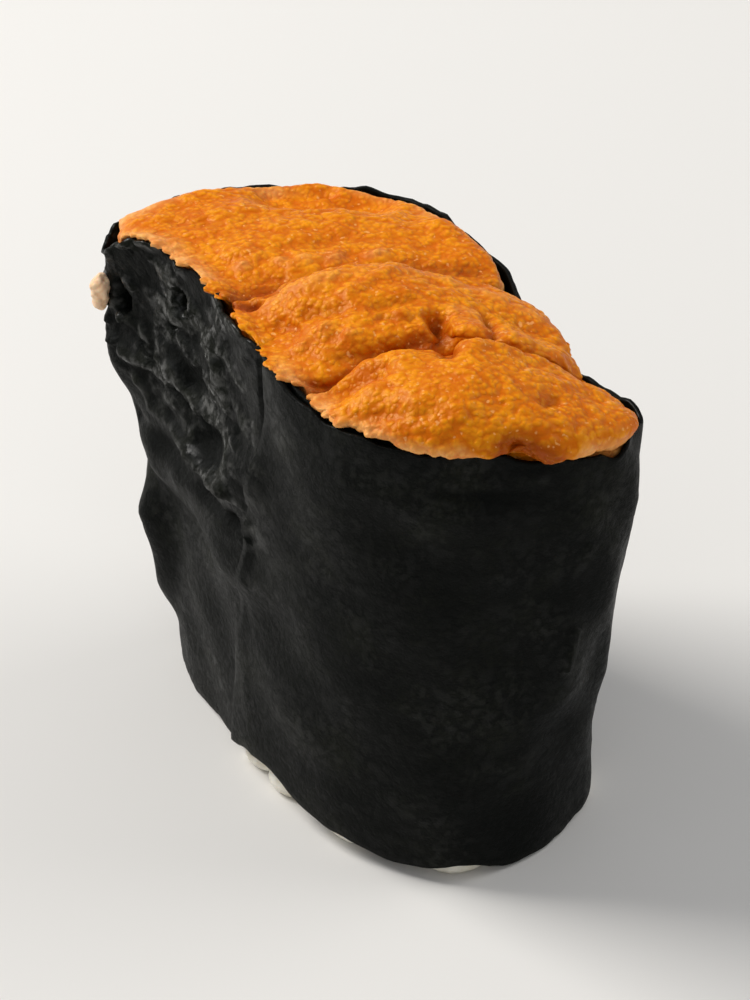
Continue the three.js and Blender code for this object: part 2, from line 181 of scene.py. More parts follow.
# ---- sea urchin, in mm ----
# Name, nodes, and the nodes with a furrow between. The fold runs on into the middle tongue.
TONGUES = (
    ("tongue_front", ("uni_front",), ("uni_fold", "uni_middle")),
    ("tongue_middle", ("uni_middle", "uni_fold"), ("uni_front", "uni_back")),
    ("tongue_back", ("uni_back",), ("uni_middle",)),
)
SEAM = 0.25  # how far the solids of one tongue are swollen to make them one, in mm
PROUD = 0.12  # how far the finished surface stands out from them
MELT = (0.35, 24)  # their edges are melted together: size of the faces in mm, smoothing rounds
FINE_ROUNDS = 3  # smoothing rounds at the finished size of the faces
FURROW = (0.15, 1.1)  # from how near to how far the next tongue makes a furrow
# Furrows, dents and swellings: from, to, reach, how far out (+) or in (-), and how much the
# colour deepens with painted shade (below 0: painted highlight, paler).
DENTS = (
    ((7.5, 1.1, 39.5), (9.9, 0.3, 39.7), 0.9, -2.1, 1.6),  # notch between the two front humps, darkened with painted shade
    ((9.9, 0.3, 39.7), (12.8, -0.9, 40.8), 0.8, -1.1, 1.2),
    ((10, 2.6, 39.6), (13, 8, 37.8), 1.3, 0.35, -0.2),  # the fold stands as high as the middle
    ((14.6, 9, 36.6), (14.6, 9, 36.6), 1.8, -1, 0),
    ((7.2, 2.6, 39.3), (7.8, 4, 39), 0.9, 0.4, -0.5),
    ((7.6, 4.9, 38.7), (11.2, 3.7, 39.8), 0.6, -0.6, 1),
    ((12.8, 1.6, 40.5), (14.2, 6.4, 38.8), 1.4, 0.5, 0),
    ((-1.8, -9.1, 38.4), (0, -4.5, 40.6), 0.8, 0.15, -0.7),  # crest of the middle tongue, painted paler as a highlight
    ((0, -4.5, 40.6), (1.2, 3.6, 39.5), 0.8, 0.15, -0.7),
    ((1.2, 3.6, 39.5), (7.8, 9.4, 37), 0.8, 0.2, -0.7),
    ((-2.6, -6.8, 39), (-1.9, -4.5, 39.9), 0.9, -1, 1.1),  # its back falls off steeply, darkened with painted shade
    ((-1.9, -4.5, 39.9), (-1.3, 3.4, 39.1), 0.9, -1, 1.1),
    ((-1.3, 3.4, 39.1), (1, 7.6, 37.9), 0.9, -0.7, 1),
    ((-5, -8, 37.8), (-4, -3, 38.2), 1.3, -0.45, 0.9),  # the hollow behind it, with painted shade
    ((-4, -3, 38.2), (-2.8, 5, 37.3), 1.3, -0.45, 0.9),
    ((-2.8, 5, 37.3), (-1, 9, 36.4), 1.1, -0.3, 0.8),
    ((-8.3, -6.3, 37.9), (-8.3, -6.3, 37.9), 0.7, 0.4, -1.5),  # lumps beyond the hollow, painted pale as highlights
    ((-7.4, -3.7, 38), (-7.4, -3.7, 38), 0.6, 0.35, -1.3),
    ((-6.9, -2.1, 37.8), (-6.9, -2.1, 37.8), 0.6, 0.4, -1.5),
    ((-6, -0.5, 37.8), (-6, 0.3, 37.8), 0.6, 0.35, -1.3),
    ((-5.4, 2.6, 37.6), (-5.4, 3.4, 37.6), 0.6, 0.3, -1.2),
    ((11.4, 3.5, 40.1), (11.4, 3.5, 40.1), 0.55, -0.6, 1.2),
    ((8.8, -3.4, 39.4), (9, -0.7, 39.4), 0.9, -0.7, 1.1),
    ((7.1, -0.7, 40), (6, -2.3, 40.2), 0.6, -0.35, 0.5),
    ((7.6, -6.5, 39.1), (8.6, -4.6, 39.4), 1.0, -0.5, 0.5),
    ((7.4, -9.2, 37.7), (9.2, -8.2, 38.2), 0.7, -0.5, 0.9),
    ((10.8, -8, 39.2), (11.6, -5.8, 40.2), 1.5, -1.2, 0.2),
    ((4.6, -6.2, 39.8), (4.6, -6.2, 39.8), 0.9, 0.5, -0.4),  # lumps on the near end of the middle, painted paler as highlights
    ((6.3, -5.2, 39.9), (6.3, -5.2, 39.9), 0.7, 0.4, -0.4),
    ((4.6, -7.9, 39), (4.6, -7.9, 39), 0.8, 0.4, -0.3),
    ((2.4, -6.4, 39.8), (3.6, -4.6, 40.4), 0.9, -0.45, 0.4),
    ((1.2, -8.2, 38.9), (2.6, -7.6, 39.2), 0.8, -0.4, 0.4),
    ((4.8, -2.1, 40.9), (5.2, 0.4, 40.9), 0.8, -0.4, 0.45),  # pits along its crest, with painted shade
    ((6.4, -1.2, 40.6), (6.4, -1.2, 40.6), 0.8, 0.35, 0),
    ((2.4, -3.2, 40.8), (1, 0.8, 40.4), 0.8, 0.25, -0.1),
    ((0.2, 0.6, 39.8), (2.6, 7.2, 38.6), 0.6, -0.2, 0.2),
    ((-3.7, -9.7, 38.1), (-2.2, -8.5, 38.6), 0.9, -1, 1.8),  # pit where back and middle meet, with painted shade
    ((-4.8, -8.3, 37.9), (-3.4, -6.4, 38.1), 1.2, -0.55, 0.75),
    ((-6.5, -6.8, 38), (-5.4, -4.6, 38), 1.0, -0.3, 0.45),
    ((-6.6, -3.2, 38.1), (-6.4, 0.4, 38), 0.7, 0.3, -0.3),  # lumps along the middle's back edge, painted paler as highlights
    ((-10.5, -6.5, 38), (-9, -5, 38), 1.2, 0.25, -0.1),
    ((-9, -2.5, 38), (-8, 2, 38), 1.1, -0.22, 0.15),
    ((-14.5, -3, 37.8), (-13, 3, 37.8), 1.4, -0.22, 0.1),
    ((-20.6, -6.2, 36.8), (-20.3, -3.8, 36.9), 1.4, 0.3, 0),  # far side: high at the corner
    ((-17.4, 1.4, 37), (-14, 7, 37), 2.8, -1.4, 0),  # then lower than the rim
    ((-18.8, 1, 36.7), (-17.2, 5, 36.5), 1.4, -1.3, 0),
    ((-13, 8.6, 36.8), (-11.5, 9.2, 37), 2, -0.4, 0),
    ((-7.5, 9.6, 36.8), (-3.5, 9.8, 37), 2.2, 0.45, 0),
    ((-18.2, -10.8, 31.6), (-18.2, -10.8, 31.6), 2.2, -2.4, 1.6),  # clear of two pockets, with painted shade behind them
    ((-11.4, -9.6, 34.2), (-11.4, -9.6, 34.2), 1.8, -2.6, 1.6),
    ((-17, -7.4, 37.4), (-14.8, -5.4, 37.8), 1.0, -0.25, 0.2),
    ((14.6, -7.8, 39.2), (17.4, -5, 40), 0.8, -0.3, 0.25),
    ((12.8, -6.8, 40), (12.8, -6.8, 40), 1.2, 0.3, -0.1),
    ((19.3, 4, 39), (19.6, 3, 39.2), 0.6, -0.4, 0.6),
    ((18.4, -3, 40.2), (18.4, -3, 40.2), 1.6, 0.25, 0),
    ((21.8, -0.3, 37.6), (22.1, 0, 35.8), 1.2, -1.1, 1.6),  # wet hollow at the near rim, darkened with painted shade
    ((21.7, -0.8, 37.6), (22.2, 1.4, 36.3), 1.5, 0, 2),
    ((7.6, 6.4, 38.8), (9.4, 8.4, 37.6), 0.9, -0.3, 0.3),
)
# How far the sea urchin is pushed out at the rim, and laps over it: place along WRAP, mm.
LAPS = (
    (0, 1.4), (0.5, 0.9), (1.3, 1.3), (2.4, 1.3), (3, 0.8), (3.6, 0.2), (4.4, 0), (10, 0),
    (11, 0.1), (12.2, 0.3), (12.7, 0.5), (12.95, 0.3), (13.15, 0), (13.5, 0), (13.8, 0.4),
    (14.3, 0.7), (14.8, 0.8), (15.3, 1.3), (15.55, 2.4), (15.8, 2.2), (16, 1.4),
)
INSIDE = 0.45  # how far inside the sheet's middle it stays where it is below the rim, in mm
BRIM = 0.5  # how high it stands over the rim where it laps over, in mm
# How far up from the rim the edge of the sea urchin is pale, its own paler tone and partly painted
# rim light: place along WRAP, mm.
PALES = (
    (0, 0.2), (1, 0.2), (1.4, 1), (2, 1.2), (3, 1.8), (3.7, 1.8), (4.2, 1.2), (4.6, 0.8),
    (7, 0.6), (8.7, 0.8), (9.1, 0.2), (10, 0.1), (11.6, 0.2), (12, 1.3), (12.65, 1.5), (12.85, 0.1),
    (13.65, 0.1), (13.9, 1.5), (14.4, 1.4), (14.9, 0.9), (15.3, 0.9), (15.8, 0.3), (16, 0.2),
)
SCRAP = {"at": (-20.4, -12.3, 31.1), "half": (0.8, 0.85, 1.7)}
RIM_MARKS = 1600  # points that stand for the nori's upper edge

# ---- rice, in mm ----
RICE_TOP = 30
CORE_FOOT = 1.7
CORE_INSET = 1  # how far the block ends inside the sheet
CORE_VOXEL = 0.45  # size of its faces
GRAIN = (2.5, 5.4, 2.1)  # width, length, thickness
GRAIN_PLUMP = 0.1  # how much wider the middle is than an oval's
GRAIN_TAPER = 0.07  # how much narrower one end is
GRAIN_BEND = 0.28  # how far the middle is bent aside
GRAIN_SIZES = (0.9, 0.2)  # the smallest, and how much more the largest has
GRAIN_DENTS = 0.07
# Grains of the underside, round the foot and looking out: how many, how far inside the sheet,
# the height of their middles, and how they tilt.
UNDER = {"count": 28, "inset": 3.6, "z": 0.72}
ROUND = {"count": 18, "inset": 2.1, "z": 1}
PEEPING = {"inset": 1.5, "z": 0.95, "tilt": 0.15}
SECOND = {"count": 64, "inset": 3.2, "z": 2.2}  # seen between those of the underside
SEED = 20

# ---- stage, in metres and watts ----
# Lights: name, direction, distance, size, power, colour.
LIGHTS = (
    ("key", (-0.85, -0.65, 1.05), 0.7, 0.3, 4.3, (1, 0.98, 0.95)),
    ("fill", (0.9, -0.4, 0.8), 0.9, 0.6, 0.7, (0.97, 0.98, 1)),
    ("back", (0.3, 1, 0.9), 0.8, 0.5, 1.7, (1, 0.99, 0.97)),
)
SKY = (0.93, 0.95, 1, 1)  # its colour
SKY_STRENGTH = 0.28
FLOOR_SIZE = 6
FRAME_HEIGHT = 36  # of the camera's frame, in mm


def linear(red, green, blue):
    """A colour given as a screen shows it, 0 to 255, as the shaders want it."""
    def channel(value):
        value = value / 255
        return value / 12.92 if value <= 0.04045 else ((value + 0.055) / 1.055) ** 2.4
    return (channel(red), channel(green), channel(blue))


# ---- what a user would change ----
class NoriSettings(bpy.types.PropertyGroup):
    thickness: bpy.props.FloatProperty(
        name="Thickness", description="Thickness of the sheet", default=0.3 * MM, unit="LENGTH")
    crinkle: bpy.props.FloatProperty(
        name="Crinkle", description="Depth of the crinkles", default=0.5 * MM, unit="LENGTH")
    lap: bpy.props.FloatProperty(
        name="Lap", description="How far the outer layer stands off the inner one",
        default=0.55 * MM, unit="LENGTH")
    # Dark and Light are also mixed by how raised the crinkles are, which paints shade into their
    # hollows.
    dark: bpy.props.FloatVectorProperty(
        name="Dark", description="The sheet where it is thick", subtype="COLOR",
        default=linear(7, 9, 7))
    light: bpy.props.FloatVectorProperty(
        name="Light", description="The sheet where it is thin", subtype="COLOR",
        default=linear(21, 23, 16))


class RiceSettings(bpy.types.PropertyGroup):
    white: bpy.props.FloatVectorProperty(
        name="White", description="The grains", subtype="COLOR", default=linear(236, 232, 220))
    shade: bpy.props.FloatVectorProperty(
        name="Shade", description="The grains where they are clearer", subtype="COLOR",
        default=linear(214, 207, 188))


class UrchinSettings(bpy.types.PropertyGroup):
    granule: bpy.props.FloatProperty(
        name="Granule", description="From one granule to the next", default=0.58 * MM,
        unit="LENGTH")
    height: bpy.props.FloatProperty(
        name="Height", description="How far the granules stand out", default=0.12 * MM,
        unit="LENGTH")
    detail: bpy.props.FloatProperty(
        name="Detail", description="Size of the faces of the surface", default=0.14 * MM,
        unit="LENGTH")
    golden: bpy.props.FloatVectorProperty(
        name="Golden", description="The tops of the granules", subtype="COLOR",
        default=linear(247, 154, 12))
    orange: bpy.props.FloatVectorProperty(
        name="Orange", description="Between the granules", subtype="COLOR",
        default=linear(216, 106, 0))
    # Deep is painted shade: in furrows between the tongues, in dents and notches, and where the sea
    # urchin is below the nori's rim.
    deep: bpy.props.FloatVectorProperty(
        name="Deep", description="In furrows", subtype="COLOR", default=linear(150, 52, 0))
    # Pale: the edges' own paler tone, partly painted rim light, and painted highlights on lumps,
    # crests and specks.
    pale: bpy.props.FloatVectorProperty(
        name="Pale", description="Along the edges", subtype="COLOR",
        default=linear(252, 184, 112))
    scrap: bpy.props.FloatVectorProperty(
        name="Scrap", description="The dry scrap", subtype="COLOR", default=linear(250, 214, 176))


class StageSettings(bpy.types.PropertyGroup):
    floor: bpy.props.FloatVectorProperty(
        name="Floor", description="The floor", subtype="COLOR", default=linear(234, 232, 228))
    azimuth: bpy.props.FloatProperty(
        name="Azimuth", description="The camera's direction seen from above",
        default=math.radians(63.59), subtype="ANGLE", unit="ROTATION")
    elevation: bpy.props.FloatProperty(
        name="Elevation", description="The camera's height as an angle",
        default=math.radians(34.7), subtype="ANGLE", unit="ROTATION")
    lean: bpy.props.FloatProperty(
        name="Lean", description="How far the camera is turned about its own line of sight",
        default=math.radians(-1.92), subtype="ANGLE", unit="ROTATION")
    distance: bpy.props.FloatProperty(
        name="Distance", description="From the camera to the middle of the piece",
        default=0.3487, unit="LENGTH")
    lens: bpy.props.FloatProperty(
        name="Lens", description="Focal length on a 36 mm frame, in millimetres", default=172.5)


# ---- shader maths ----
class Socket:
    """A value in a material's nodes. A sum, a product and so on adds the node that works it out."""

    def __init__(self, finish, link):
        self.finish = finish
        self.link = link

    def math(self, operation, *others):
        values = dict(enumerate((self, *others)))
        return self.finish.node("ShaderNodeMath", {"operation": operation}, values)

    def __add__(self, other):
        return self.math("ADD", other)

    __radd__ = __add__

    def __mul__(self, other):
        return self.math("MULTIPLY", other)

    __rmul__ = __mul__

    def __sub__(self, other):
        return self.math("SUBTRACT", other)

    def __rsub__(self, other):
        return self.math("MULTIPLY_ADD", -1.0, other)

    def spread(self, low, high, to_low=0.0, to_high=1.0):
        """This value with low to high stretched to to_low to to_high, and held there."""
        settings = {"interpolation_type": "SMOOTHSTEP"}
        values = {"Value": self, "From Min": low, "From Max": high,
                  "To Min": to_low, "To Max": to_high}
        return self.finish.node("ShaderNodeMapRange", settings, values)


class Finish:
    """A material being built: one shader, and the nodes that feed it."""

    def __init__(self, name, **shader):
        self.material = bpy.data.materials.new(name)
        self.material.use_nodes = True
        self.tree = self.material.node_tree
        self.tree.nodes.clear()
        self.shader = self.tree.nodes.new("ShaderNodeBsdfPrincipled")
        output = self.tree.nodes.new("ShaderNodeOutputMaterial")
        self.tree.links.new(self.shader.outputs["BSDF"], output.inputs["Surface"])
        self.feed(self.shader, shader)

    def feed(self, node, values):
        for key, value in values.items():
            if isinstance(key, str):
                key = key.replace("_", " ")
            if isinstance(value, Socket):
                self.tree.links.new(value.link, node.inputs[key])
            else:
                slot = node.inputs[key]
                wide = slot.type == "RGBA" and len(value) == 3
                slot.default_value = (*value, 1.0) if wide else value

    def set(self, **values):
        self.feed(self.shader, values)

    def node(self, kind, settings=None, values=None, output=0):
        """Adds a node with its settings and its inputs, and returns one of its outputs."""
        made = self.tree.nodes.new(kind)
        for key, value in (settings or {}).items():
            setattr(made, key, value)
        self.feed(made, values or {})
        return Socket(self, made.outputs[output])

    def place(self):
        return self.node("ShaderNodeTexCoord", output="Object")

    def attribute(self, name):
        return self.node("ShaderNodeAttribute", {"attribute_name": name}, output="Fac")

    def vector(self, operation, *others, output=0):
        values = dict(enumerate(others))
        return self.node("ShaderNodeVectorMath", {"operation": operation}, values, output)

    def speckle(self, size, detail, roughness=0.5):
        """Noise of about 0 to 1 with features of that size in mm."""
        values = {"Vector": self.place(), "Scale": 1 / (size * MM),
                  "Detail": detail, "Roughness": roughness}
        return self.node("ShaderNodeTexNoise", {"noise_dimensions": "3D"}, values)

    def grains(self, size):
        """1 on the middles of crowded uneven grains of that size in mm, 0 between them."""
        place = self.place()
        drift = self.node("ShaderNodeTexNoise", {"noise_dimensions": "3D"},
                          {"Vector": place, "Scale": 0.5 / (size * MM)}, output=1)
        place = self.vector("MULTIPLY_ADD", drift, (size * MM,) * 3, place)
        settings = {"voronoi_dimensions": "3D", "feature": "SMOOTH_F1"}
        values = {"Vector": place, "Scale": 1 / (size * MM), "Smoothness": 0.35}
        away = self.node("ShaderNodeTexVoronoi", settings, values)
        return away.spread(0.1, 0.75, 1.0, 0.0)

    def facets(self, size):
        """Heights of about 0 to 1 of a crumple of tilted flats of that size in mm."""
        place = self.node("ShaderNodeVectorMath", {"operation": "SCALE"},
                          {0: self.place(), "Scale": 1 / (size * MM)})
        settings = {"voronoi_dimensions": "3D", "feature": "F1"}
        tilt, middle = (
            self.node("ShaderNodeTexVoronoi", settings, {"Vector": place, "Scale": 1.0}, output)
            for output in ("Color", "Position"))
        lean = self.vector("SUBTRACT", tilt, (0.5, 0.5, 0.5))
        away = self.vector("SUBTRACT", place, middle)
        return self.vector("DOT_PRODUCT", lean, away, output="Value") + 0.5

    def mix(self, factor, first, second):
        """A colour between two others."""
        values = {0: factor, 6: first, 7: second}
        return self.node("ShaderNodeMix", {"data_type": "RGBA"}, values, output=2)

    def relief(self, height, depth, strength):
        """A bumpy normal from a height of 0 to 1 that stands for depth in mm."""
        values = {"Height": height, "Distance": depth * MM, "Strength": strength}
        return self.node("ShaderNodeBump", values=values)


# ---- shared helpers ----
def smooth(low, high, value):
    """0 up to low, 1 from high on, and an even rise between."""
    t = np.clip((np.asarray(value, float) - low) / (high - low), 0, 1)
    return t * t * (3 - 2 * t)


def field(points, size, seed=0.0):
    """Soft noise of about -1 to 1 at points in mm, with features of that size."""
    return np.array([noise.noise(point) for point in points / size + seed])


def sway(points, size, seed=0.0):
    """Soft noise that moves points about in all directions."""
    return np.column_stack([field(points, size, seed + k) for k in (0.5, 3.5, 8.5)])


def domes(points, size, seed=0.0):
    """1 on the top of one of a crowd of rounded grains of that size, 0 between them."""
    away = np.array([noise.voronoi(point)[0][0] for point in points / size + seed])
    return np.maximum(0, 1 - (away / 0.8) ** 2)


def seeded(seed):
    """Draws of 0 to 1, the same every time."""
    state = [seed]

    def draw():
        state[0] = (state[0] * 1664525 + 1013904223) % 2**32
        return state[0] / 2**32
    return draw


def only(piece):
    """Selects one piece and makes it the active one."""
    bpy.ops.object.select_all(action="DESELECT")
    piece.select_set(True)
    bpy.context.view_layer.objects.active = piece


def added(name, add, **settings):
    """Adds a plain mesh by itself with one of the add operators, and names it."""
    bpy.ops.object.select_all(action="DESELECT")
    add(**settings)
    piece = bpy.context.object
    piece.name = name
    return piece


def apply_modifier(piece, kind, **settings):
    modifier = piece.modifiers.new(kind.title(), kind)
    for key, value in settings.items():
        setattr(modifier, key, value)
    only(piece)
    bpy.ops.object.modifier_apply(modifier=modifier.name)


def points_of(piece):
    """A piece's vertices, in mm."""
    co = np.empty(len(piece.data.vertices) * 3)
    piece.data.vertices.foreach_get("co", co)
    return co.reshape(-1, 3) / MM


def unit_points(piece):
    """A plain mesh's vertices in its own units, before it is given its size."""
    return points_of(piece) * MM


def put_points(piece, points):
    piece.data.vertices.foreach_set("co", (points * MM).ravel())
    piece.data.update()


def normals_of(piece):
    vectors = np.empty(len(piece.data.vertices) * 3)
    piece.data.vertex_normals.foreach_get("vector", vectors)
    return vectors.reshape(-1, 3)


def put_attribute(piece, name, values):
    attribute = piece.data.attributes.new(name, "FLOAT", "POINT")
    attribute.data.foreach_set("value", values.astype(np.float32))


def finished(piece, nodes, material):
    """Shades a piece smooth, gives it its material and puts it in place of its nodes."""
    only(piece)
    bpy.ops.object.shade_smooth()
    piece.data.materials.clear()
    piece.data.materials.append(material)
    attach(piece, "root")
    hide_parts(*nodes)


# ---- the surface of the wrap, in mm ----
class Loop:
    """A smooth closed curve through points, read at turns from 0 to 1."""

    def __init__(self, points):
        p1 = np.array(points, float)
        p0, p2, p3 = (np.roll(p1, shift, axis=0) for shift in (1, -1, -2))
        d0, d1, d2 = (np.sqrt(np.linalg.norm(b - a, axis=1))[:, None]
                      for a, b in ((p0, p1), (p1, p2), (p2, p3)))
        t1 = ((p1 - p0) / d0 - (p2 - p0) / (d0 + d1) + (p2 - p1) / d1) * d1
        t2 = ((p2 - p1) / d1 - (p3 - p1) / (d1 + d2) + (p3 - p2) / d2) * d1
        self.terms = (p1, t1, 3 * (p2 - p1) - 2 * t1 - t2, 2 * (p1 - p2) + t1 + t2)

    def at(self, turn):
        along = (np.asarray(turn, float) % 1) * STEPS
        whole = np.floor(along).astype(int) % STEPS
        part = (along - np.floor(along))[..., None]
        c0, c1, c2, c3 = (term[whole] for term in self.terms)
        return c0 + part * (c1 + part * (c2 + part * c3))


foot_loop = Loop([(*foot, NORI_FOOT) for foot, rim in WRAP])
rim_loop = Loop([rim for foot, rim in WRAP])


def wrap_point(turn, rise):
    """Middle of the plain sheet at a place in turns and a fraction of its height."""
    foot = foot_loop.at(turn)
    rim = rim_loop.at(turn)
    rise = np.asarray(rise, float)[..., None]
    point = foot + (rim - foot) * smooth(0, 1, rise)
    point[..., 2:] = foot[..., 2:] + (rim[..., 2:] - foot[..., 2:]) * rise
    return point


def outward(turn, rise):
    """The level direction out of the sheet."""
    step = 0.004
    run = wrap_point(turn + step, rise) - wrap_point(turn - step, rise)
    out = np.stack([-run[..., 1], run[..., 0], np.zeros(run.shape[:-1])], axis=-1)
    return out / np.linalg.norm(out, axis=-1, keepdims=True)


def nearness(points, start, end, reach):
    """1 on the line from start to end, falling to 0 about reach mm away."""
    start = np.array(start, float)
    run = np.array(end, float) - start
    along = np.clip((points - start) @ run / max(run @ run, 1e-9), 0, 1)
    away = np.linalg.norm(points - start - along[:, None] * run, axis=1) / reach
    return np.exp(-1.6 * away**2)


def relief_of(points, creases):
    """The sum of the creases near points."""
    total = np.zeros(len(points))
    for start, end, reach, out in creases:
        total += out * nearness(points, start, end, reach)
    return total


def strongest_of(points, lines):
    """For lines of start, end, reach and amounts, the strongest of each amount near points."""
    count = len(lines[0]) - 3
    raised = np.zeros((count, len(points)))
    sunk = np.zeros((count, len(points)))
    for start, end, reach, *amounts in lines:
        near = np.outer(amounts, nearness(points, start, end, reach))
        raised = np.maximum(raised, near)
        sunk = np.minimum(sunk, near)
    return raised + sunk


def slack(points, turn):
    """How far the slack, creased sheet stands out from its plain form."""
    place = (turn % 1) * STEPS
    height = points[:, 2]
    shelf = (smooth(SHELF["low"], SHELF["high"], height)
             * (1 - smooth(SHELF["high"] + 2, SHELF["fade"], height))
             * smooth(SHELF["start"] - 0.5, SHELF["start"] + 0.3, place)
             * (1 - smooth(SHELF["end"] - 1, SHELF["end"] + 0.5, place)))
    ripple = sum(out * np.sin(place * along + height * up) for out, along, up in WAVES)
    return SHELF["out"] * shelf + ripple * smooth(0, 12, height) + relief_of(points, CREASES)


def sheet_point(turn, rise, offset):
    """A place on the creased sheet, or offset mm out from it."""
    point = wrap_point(turn, rise)
    out = slack(point, turn) + offset
    return point + outward(turn, rise) * np.asarray(out)[:, None]


def foot_rise(turn):
    """How high the lower edge is lifted, as a fraction of the strip's height."""
    place = (turn % 1) * STEPS
    high, along = FOOT_WAVE
    lift = high * (1 + np.sin(place * along))
    for at, lifted in PEEPS:
        apart = np.abs(place - at)
        away = np.minimum(apart, STEPS - apart) / PEEP_REACH
        lift = lift + lifted * np.exp(-(away**2))
    return lift / NORI_HEIGHT


def rim_wave(turn):
    place = (turn % 1) * STEPS
    return sum(high * np.sin(place * along + start) for high, along, start in RIM_WAVES)


def around_rim(turn, table):
    """A value given at some places along WRAP, between them."""
    places, values = zip(*table)
    return np.interp((turn % 1) * STEPS, places, values, period=STEPS)


def shift_to_frame(points):
    """How far this model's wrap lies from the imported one, which is centred on the whole piece."""
    low, high = (np.array(corner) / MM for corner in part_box("nori"))
    shift = (low + high - points.min(axis=0) - points.max(axis=0)) / 2
    shift[2] = 0
    return shift


def plain_strip(u, v):
    """The strip before it is wrinkled: points, turns, fractions of height, climb onto its start."""
    steps = u * (STEPS + LAP_FOOT + (LAP_RIM - LAP_FOOT) * v)
    climb = smooth(STEPS - CLIMB[0], STEPS - CLIMB[1], steps)
    turn = (LAP_START + steps) / STEPS
    low = foot_rise(turn)
    rise = low + (1 - low) * v
    points = sheet_point(turn, rise, 0)
    points[:, 2] += rim_wave(turn) * v**2
    return points, turn, rise, climb


def strip_shift():
    """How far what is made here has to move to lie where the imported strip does."""
    u, v = (grid.ravel() for grid in np.meshgrid(np.linspace(0, 1, 289), np.linspace(0, 1, 31)))
    return shift_to_frame(plain_strip(u, v)[0])


# ---- nori ----
def slackness(points):
    """1 where the sheet hangs slack and wrinkled, 0 where it is pressed on the rice."""
    left = 1 - smooth(-6, 7, points[:, 0])
    near = 1 - smooth(-8, -4, points[:, 1])
    above = smooth(19, 24.5, points[:, 2] + 0.25 * points[:, 0])
    return left * near * above


def facets(points, size, seed):
    """Heights of a crumple of tilted flats of that size, with sharp creases between."""
    heights = []
    for point in points / size + seed:
        (near, farther, *others), (middle, *others) = noise.voronoi(point)
        tilt = Vector([noise.noise(middle * k) for k in (5.3, 7.1, 9.7)])
        heights.append(tilt.dot(Vector(point) - middle) * min(1, 4 * (farther - near)))
    return np.array(heights)


def crinkles(points, slackened):
    """The wrinkles of the sheet: tilted flats between sharp creases, most along the strip."""
    bent = points + 0.6 * sway(points, 2.6)
    crest = np.abs(field(bent * (0.4, 0.4, 1), 3.1, 3.1))
    soft = field(points, 4.6, 7.3)
    crumple = sum(deep * facets(bent * (squat, squat, 1), size, seed)
                  for deep, squat, size, seed in CRUMPLE)
    height = 0.3 + 0.7 * soft - 1.1 * crest + crumple
    pressed = 0.3 * soft - 0.25 * crest + 0.06 * crumple
    return pressed + slackened * (height - pressed)


def pockets(points):
    """How deep the sheet is pushed in at its pockets, which have ragged edges."""
    depth = np.zeros(len(points))
    for middle, wide, high, deepest in POCKETS:
        away = np.linalg.norm((points - middle) / (wide, 1.5, high), axis=1)
        close = np.flatnonzero(away < 2)
        edge = 1 + 0.3 * field(points[close], 1, 1.9)
        depth[close] += deepest * (1 - smooth(0.7, 1.15, away[close] / edge))
    return depth


def crowded(places, crowd):
    """Even places from 0 to 1, moved closer together where crowd is high."""
    total = np.cumsum(crowd)
    marks = np.linspace(0, 1, len(crowd))
    return np.interp(places, (total - total[0]) / (total[-1] - total[0]), marks)


def make_nori(settings):
    columns, rows = NORI_FACES
    piece = added("nori_sheet", bpy.ops.mesh.primitive_grid_add,
                  x_subdivisions=columns, y_subdivisions=rows, size=1)
    flat = unit_points(piece)
    # faces are smaller where the sheet is slack, and in its upper half
    marks = np.linspace(0, 1, 400)
    crowd = 1 + 1.3 * smooth(0.03, 0.1, marks) * (1 - smooth(0.28, 0.36, marks))
    u = crowded(flat[:, 0] + 0.5, crowd)
    v = crowded(flat[:, 1] + 0.5, 1 + 0.8 * smooth(0.4, 0.6, marks))
    plain, turn, rise, climb = plain_strip(u, v)
    shift = shift_to_frame(plain)
    around = np.column_stack([turn * STEPS * STEP_LENGTH, np.zeros_like(turn), np.zeros_like(turn)])

    slackened = slackness(plain)
    crinkle = crinkles(plain, slackened)
    fine = strongest_of(plain, FINE_CREASES)[0]
    # how raised the crinkles are: makes them glossier, and through the colour paints shade in their
    # hollows
    put_attribute(piece, "raised", smooth(-0.35, 0.5, crinkle + fine))
    put_attribute(piece, "slack", slackened)

    lap = climb * settings.lap / MM
    thin = (NORI_PACKED - settings.thickness / MM) / 2
    wrinkled = crinkle * settings.crinkle / MM + fine
    deepest = DEEPEST - (DEEPEST - DEEPEST_AT_RIM) * smooth(0.7, 0.85, v)
    wrinkled = np.maximum(wrinkled, -deepest)
    lip = 0.45 * field(around, 5, 2.2) * smooth(0.88, 1, v)
    up = around_rim(turn, RISES) * v**8
    out = lap + thin + wrinkled + lip - RISE_LEAN * up - pockets(plain)
    points = plain + outward(turn, rise) * out[:, None]
    ragged = sum(high * field(around, size, seed) for high, size, seed in RAGS)
    # only the edges themselves are ragged
    points[:, 2] += up + ragged * v**14 + (FOOT_RAGS * ragged - FOOT_LONGER) * (1 - v)**14
    put_points(piece, points + shift)
    apply_modifier(piece, "SOLIDIFY", thickness=settings.thickness, offset=0)
    finished(piece, ["nori"], nori_finish(settings))


